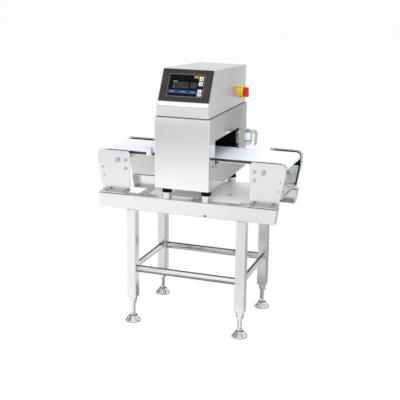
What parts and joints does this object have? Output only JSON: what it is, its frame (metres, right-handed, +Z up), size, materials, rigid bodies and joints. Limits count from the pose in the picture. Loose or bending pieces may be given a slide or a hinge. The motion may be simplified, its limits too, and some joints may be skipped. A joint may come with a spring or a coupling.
{
  "type": "conveyor metal detector",
  "caption": "Belt conveyor on a levelling steel stand that carries products through a box-shaped metal detector head with a touch panel above.",
  "frame": {"origin": "on the floor, under the centre of the detector head", "axes": "+X the way the belt carries the product, +Y from the operator's side to the back, +Z up"},
  "size_m": [0.888, 0.566, 1.1938],
  "materials": {
    "head_steel": "fine brushed stainless steel",
    "frame_steel": "satin stainless steel sheet and tube",
    "bar_steel": "bright stainless tube and bar",
    "fastener_steel": "stainless fasteners",
    "foot_steel": "turned stainless levelling foot",
    "belt": "smooth white food belt",
    "bed": "white sliding plastic",
    "white_plastic": "white moulded plastic",
    "black_plastic": "black machined plastic",
    "black_rubber": "black rubber",
    "copper": "enamelled copper winding",
    "bezel": "dark grey sheet",
    "panel": "dark grey moulded panel",
    "screen": "touch screen",
    "yellow": "yellow moulded plastic",
    "red": "red moulded plastic",
    "circuit": "green circuit board",
    "motor": "machined steel motor",
    "lens": "pale blue translucent lens"
  },
  "bodies": {
    "machine": {"aperture_liner": "black_plastic", "beacon_body": "white_plastic", "beacon_bracket": "head_steel", "beacon_lens": "lens", "beacon_mount": "black_plastic", "bearing_plates": "black_plastic", "bed_supports": "bar_steel", "belt": "belt", "cable_glands": "black_plastic", "coil_former": "bed", "control_board": "circuit", "cover_screws": "fastener_steel", "cross_members": "bar_steel", "crumb_guard": "frame_steel", "display_bezel": "bezel", "display_screen": "screen", "drip_trays": "frame_steel", "drum_motor": "motor", "enclosure_cover": "head_steel", "flange_spacers": "fastener_steel", "frame_bolts": "fastener_steel", "front_rail": "frame_steel", "head_lid": "head_steel", "head_pads": "black_rubber", "head_shell": "head_steel", "head_standoffs": "frame_steel", "leg_front_left": "frame_steel", "leg_front_right": "frame_steel", "leg_plugs": "frame_steel", "leg_rear_left": "frame_steel", "leg_rear_right": "frame_steel", "lock_nuts": "foot_steel", "m8_bolts": "fastener_steel", "photo_sensor": "white_plastic", "power_supply": "motor", "rear_rail": "frame_steel", "roller_shafts": "fastener_steel", "scraper_blade": "white_plastic", "seam_gasket": "black_rubber", "search_coils": "copper", "sensor_arms": "bar_steel", "slider_bed": "bed", "stretchers": "bar_steel", "support_plate_front_left": "frame_steel", "support_plate_front_right": "frame_steel", "support_plate_rear_left": "frame_steel", "support_plate_rear_right": "frame_steel", "switch_body": "black_plastic", "switch_plate": "yellow", "touch_panel": "panel"},
    "foot_front_left_body": {"foot_front_left": "foot_steel"},
    "foot_front_right_body": {"foot_front_right": "foot_steel"},
    "foot_rear_left_body": {"foot_rear_left": "foot_steel"},
    "foot_rear_right_body": {"foot_rear_right": "foot_steel"},
    "handle": {"switch_handle": "red"},
    "drum": {"drive_drum": "bar_steel"},
    "nose_right": {"nose_roller_right": "white_plastic"},
    "nose_left": {"nose_roller_left": "white_plastic"},
    "snub_right": {"snub_roller_right": "white_plastic"},
    "snub_left": {"snub_roller_left": "white_plastic"}
  },
  "joints": [
    {"name": "level_front_left", "type": "slide", "parent": "machine", "child": "foot_front_left_body", "axis": [0, 0, 1], "range_m": [-0.015, 0.015]},
    {"name": "level_front_right", "type": "slide", "parent": "machine", "child": "foot_front_right_body", "axis": [0, 0, 1], "range_m": [-0.015, 0.015]},
    {"name": "level_rear_left", "type": "slide", "parent": "machine", "child": "foot_rear_left_body", "axis": [0, 0, 1], "range_m": [-0.015, 0.015]},
    {"name": "level_rear_right", "type": "slide", "parent": "machine", "child": "foot_rear_right_body", "axis": [0, 0, 1], "range_m": [-0.015, 0.015]},
    {"name": "main_switch_turn", "type": "hinge", "parent": "machine", "child": "handle", "pos_m": [0.148, 0.188, 1.052], "axis": [1, 0, 0], "range_deg": [0, 90]},
    {"name": "drive_drum_spin", "type": "hinge", "parent": "machine", "child": "drum", "pos_m": [0.32672, -0.026, 0.715], "axis": [0, 1, 0], "continuous": true},
    {"name": "nose_right_spin", "type": "hinge", "parent": "machine", "child": "nose_right", "pos_m": [0.42, -0.026, 0.78], "axis": [0, 1, 0], "continuous": true},
    {"name": "nose_left_spin", "type": "hinge", "parent": "machine", "child": "nose_left", "pos_m": [-0.42, -0.026, 0.78], "axis": [0, 1, 0], "continuous": true},
    {"name": "snub_right_spin", "type": "hinge", "parent": "machine", "child": "snub_right", "pos_m": [0.3, -0.026, 0.774], "axis": [0, 1, 0], "continuous": true},
    {"name": "snub_left_spin", "type": "hinge", "parent": "machine", "child": "snub_left", "pos_m": [-0.3, -0.026, 0.774], "axis": [0, 1, 0], "continuous": true}
  ],
  "couplings": [
    {"joint": "nose_right_spin", "follows": "drive_drum_spin", "ratio": 2.0526},
    {"joint": "nose_left_spin", "follows": "drive_drum_spin", "ratio": 2.0526},
    {"joint": "snub_right_spin", "follows": "drive_drum_spin", "ratio": -3.9},
    {"joint": "snub_left_spin", "follows": "drive_drum_spin", "ratio": -3.9}
  ]
}
